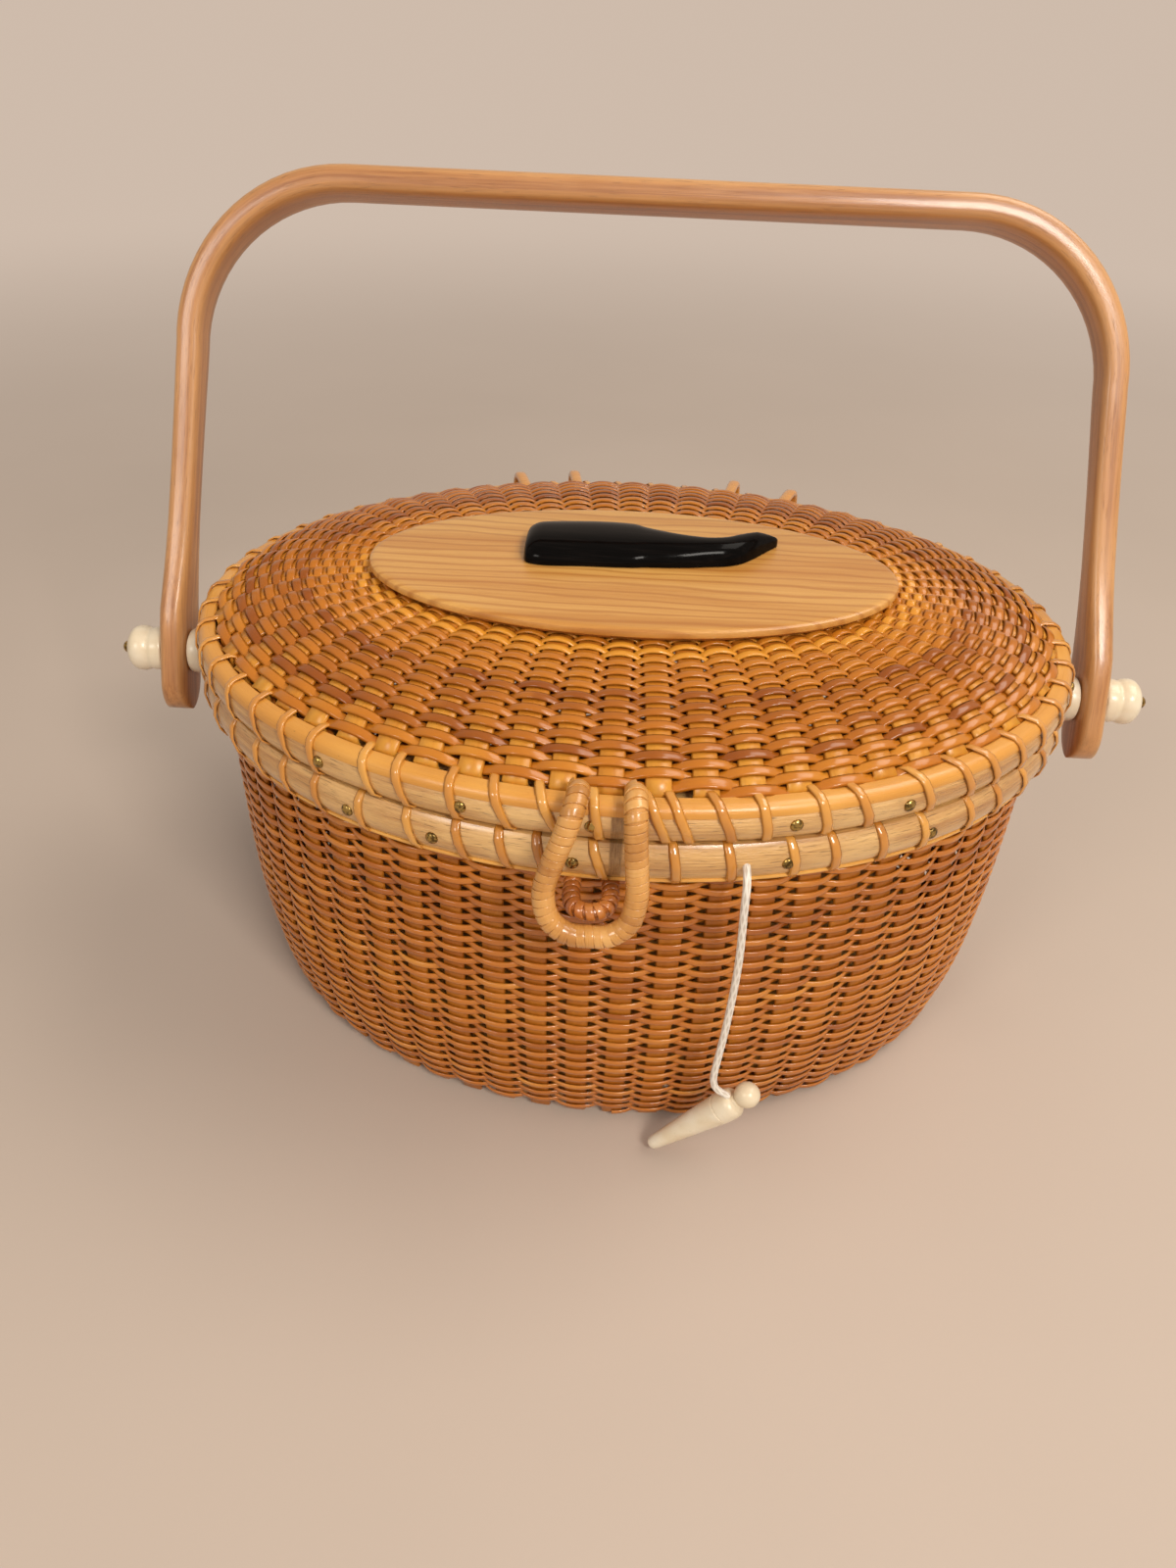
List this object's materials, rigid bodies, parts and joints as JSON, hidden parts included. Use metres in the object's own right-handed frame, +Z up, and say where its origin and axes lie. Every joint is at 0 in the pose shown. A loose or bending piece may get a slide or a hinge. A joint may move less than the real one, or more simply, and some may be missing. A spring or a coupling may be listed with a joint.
{
  "type": "oval basket",
  "caption": "Oval lidded basket of woven cane with a swinging bail handle, a hinged domed lid with a carved whale, a cane latch loop with its staple, and a peg on a cord",
  "frame": {"origin": "middle of the base board's underside, on the surface that the basket stands on", "axes": "+X along the length to the right of the latch side seen from the front, +Y towards the hinge side, +Z up"},
  "size_m": [0.2932, 0.2048, 0.2145],
  "materials": {
    "woven_cane": "satin, woven",
    "rim_cane": "gloss",
    "hoop_wood": "satin",
    "board_wood": "satin",
    "handle_wood": "satin",
    "black_wood": "polished",
    "bone": "satin",
    "brass": "worn",
    "cord": "matt braid"
  },
  "bodies": {
    "basket": {"basket_wall": "woven_cane", "base_board": "board_wood", "basket_hoop_outer": "hoop_wood", "basket_hoop_inner": "hoop_wood", "basket_rim_cap": "rim_cane", "basket_lashing_right": "rim_cane", "basket_lashing_left": "rim_cane", "latch_staple": "hoop_wood", "hinge_ring_1": "rim_cane", "hinge_ring_2": "rim_cane", "hinge_ring_3": "rim_cane", "hinge_ring_4": "rim_cane", "basket_nail_right_1": "brass", "basket_nail_right_2": "brass", "basket_nail_right_3": "brass", "basket_nail_right_4": "brass", "basket_nail_right_5": "brass", "basket_nail_right_6": "brass", "basket_nail_left_1": "brass", "basket_nail_left_2": "brass", "basket_nail_left_3": "brass", "basket_nail_left_4": "brass", "basket_nail_left_5": "brass", "basket_nail_left_6": "brass", "pivot_pin_right": "brass", "pivot_pin_left": "brass", "pivot_keeper_right": "bone", "pivot_keeper_left": "bone", "pivot_washer_right": "bone", "pivot_washer_left": "bone", "pivot_knob_right": "bone", "pivot_knob_left": "bone", "latch_peg": "bone", "peg_cord": "cord", "cord_stop_knot": "cord"},
    "lid": {"lid_wall": "woven_cane", "lid_medallion": "board_wood", "lid_hoop_outer": "hoop_wood", "lid_hoop_inner": "hoop_wood", "lid_rim_cap": "rim_cane", "lid_lashing_right": "rim_cane", "lid_lashing_left": "rim_cane", "whale_carving": "black_wood", "lid_nail_right_1": "brass", "lid_nail_right_2": "brass", "lid_nail_right_3": "brass", "lid_nail_right_4": "brass", "lid_nail_right_5": "brass", "lid_nail_right_6": "brass", "lid_nail_left_1": "brass", "lid_nail_left_2": "brass", "lid_nail_left_3": "brass", "lid_nail_left_4": "brass", "lid_nail_left_5": "brass", "lid_nail_left_6": "brass"},
    "handle": {"handle": "handle_wood"},
    "latch": {"latch_loop": "rim_cane"}
  },
  "joints": [
    {"name": "lid_hinge", "type": "hinge", "parent": "basket", "child": "lid", "pos_m": [0, 0.095, 0.106], "axis": [-1, 0, 0], "range_deg": [0, 46], "deforming": ["hinge_ring_1", "hinge_ring_2", "hinge_ring_3", "hinge_ring_4"]},
    {"name": "handle_swing", "type": "hinge", "parent": "basket", "child": "handle", "pos_m": [0, 0, 0.0943], "axis": [-1, 0, 0], "range_deg": [-134, 86]},
    {"name": "latch_swing", "type": "hinge", "parent": "lid", "child": "latch", "pos_m": [-0.0063, -0.0907, 0.11875], "axis": [-1, 0, 0], "range_deg": [-13, 100]}
  ]
}
